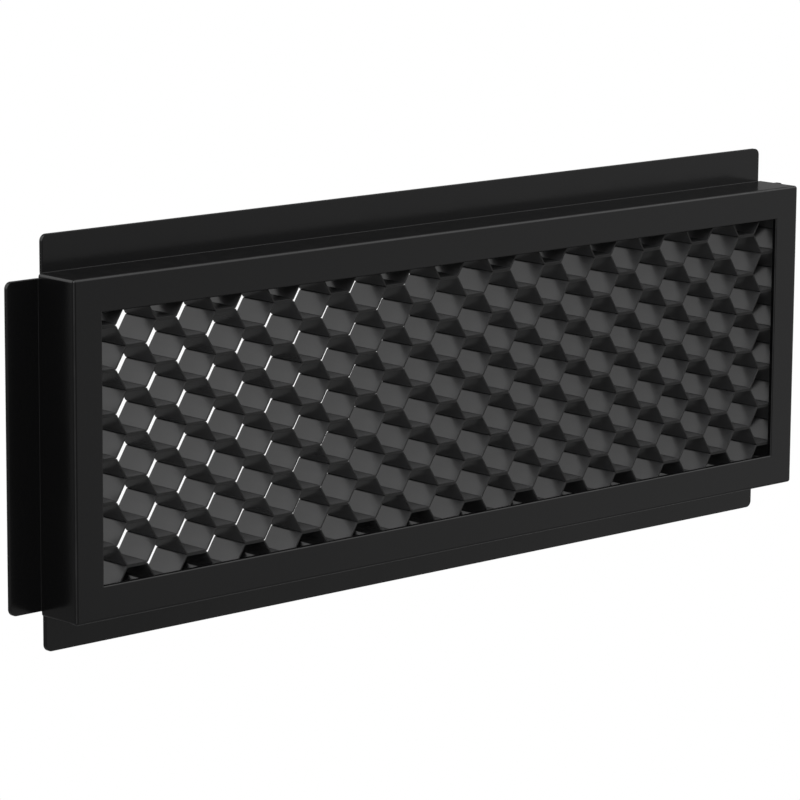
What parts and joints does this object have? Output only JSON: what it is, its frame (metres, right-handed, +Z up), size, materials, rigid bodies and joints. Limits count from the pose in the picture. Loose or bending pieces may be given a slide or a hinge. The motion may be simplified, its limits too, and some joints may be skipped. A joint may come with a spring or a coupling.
{
  "type": "honeycomb grid",
  "caption": "Long rectangular honeycomb light grid: a folded black sheet-metal frame with flat rear flanges around a core of hexagonal cells.",
  "frame": {"origin": "middle of the plane of the flanges' rear faces, which seats on the lamp's holder", "axes": "+X along the grid, -Y the front that the light leaves by, +Z up as the grid hangs on a level strip light"},
  "size_m": [0.3206, 0.0175, 0.1202],
  "materials": {
    "frame_paint": "satin black powder coat on folded sheet",
    "core_plastic": "satin black strip, smooth",
    "angle_metal": "black anodised, brushed lengthways"
  },
  "bodies": {
    "root": {"front_frame": "frame_paint", "core_strip_01": "core_plastic", "core_strip_02": "core_plastic", "core_strip_03": "core_plastic", "core_strip_04": "core_plastic", "core_strip_05": "core_plastic", "core_strip_06": "core_plastic", "core_strip_07": "core_plastic", "core_strip_08": "core_plastic", "core_strip_09": "core_plastic", "core_strip_10": "core_plastic", "core_strip_11": "core_plastic", "core_strip_12": "core_plastic", "core_strip_13": "core_plastic", "core_strip_14": "core_plastic", "core_strip_15": "core_plastic", "retainer_top": "angle_metal", "retainer_right": "angle_metal", "retainer_bottom": "angle_metal", "retainer_left": "angle_metal"}
  },
  "joints": []
}
